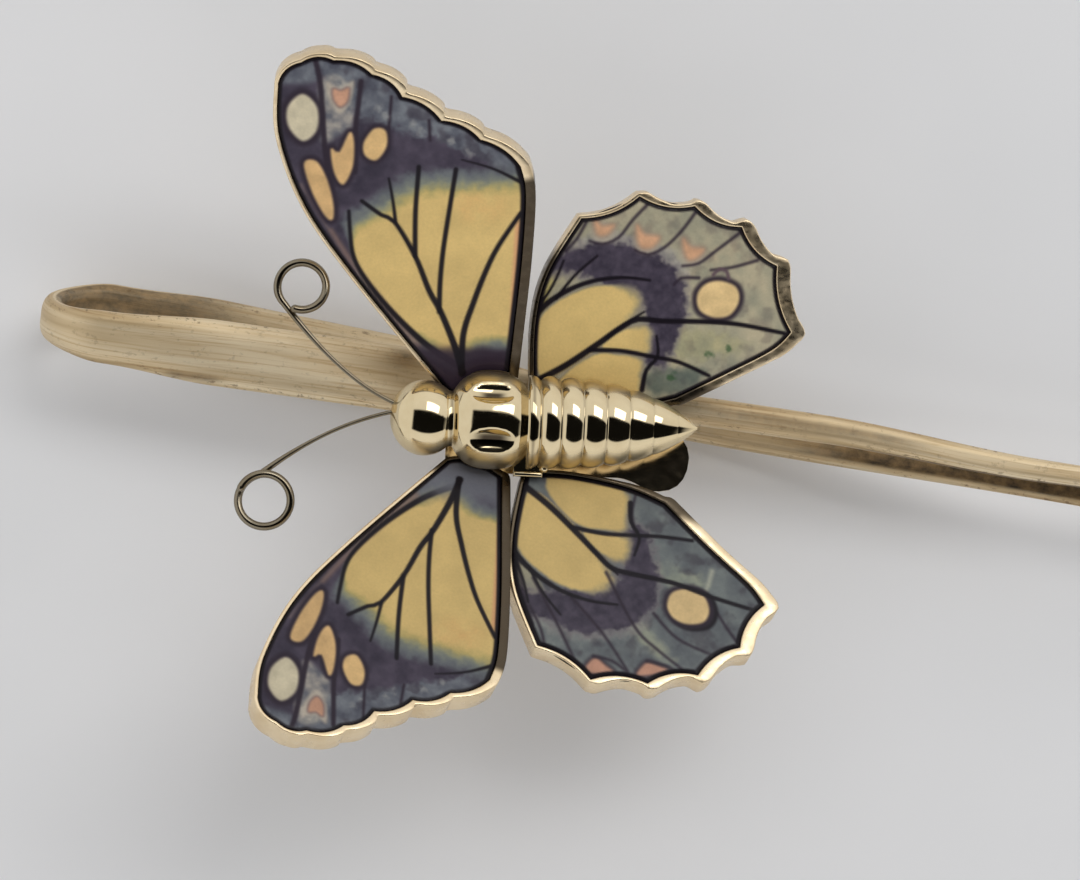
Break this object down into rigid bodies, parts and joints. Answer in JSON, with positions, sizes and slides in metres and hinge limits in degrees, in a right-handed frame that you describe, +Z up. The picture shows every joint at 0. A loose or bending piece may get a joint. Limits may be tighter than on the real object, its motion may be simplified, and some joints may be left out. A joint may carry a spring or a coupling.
{
  "type": "decorative hair pin",
  "caption": "Two-pronged sprung hair pin bent from one tapering strip, with an enamelled butterfly fixed across its upper prong and coiled wire antennae.",
  "frame": {"origin": "centre of the flat land under the lower prong, which rests on a table", "axes": "+X along the pin from its bend to its tips, +Y across the pin towards the upper pair of wings, +Z up towards the butterfly"},
  "size_m": [0.089, 0.0469, 0.0248],
  "materials": {
    "gold_strip": "worn polished gold tone",
    "gold_cast": "mirror polished gold tone",
    "gold_wire": "polished wire",
    "enamel": "glossy printed enamel"
  },
  "bodies": {
    "upper": {"upper_prong": "gold_strip", "mount_saddle": "gold_cast", "wing_bridge": "gold_cast", "butterfly_body": "gold_cast", "forewing_upper_tray": "gold_cast", "forewing_upper_enamel": "enamel", "forewing_lower_tray": "gold_cast", "forewing_lower_enamel": "enamel", "hindwing_upper_tray": "gold_cast", "hindwing_upper_enamel": "enamel", "hindwing_lower_tray": "gold_cast", "hindwing_lower_enamel": "enamel", "antenna_upper": "gold_wire", "antenna_lower": "gold_wire"},
    "lower": {"lower_prong": "gold_strip"}
  },
  "joints": [
    {"name": "prong_spread", "type": "hinge", "parent": "upper", "child": "lower", "pos_m": [-0.03024, 0.00003, 0.005], "axis": [0, 1, 0], "range_deg": [0, 6], "stiffness_Nm_per_rad": 0.6}
  ]
}
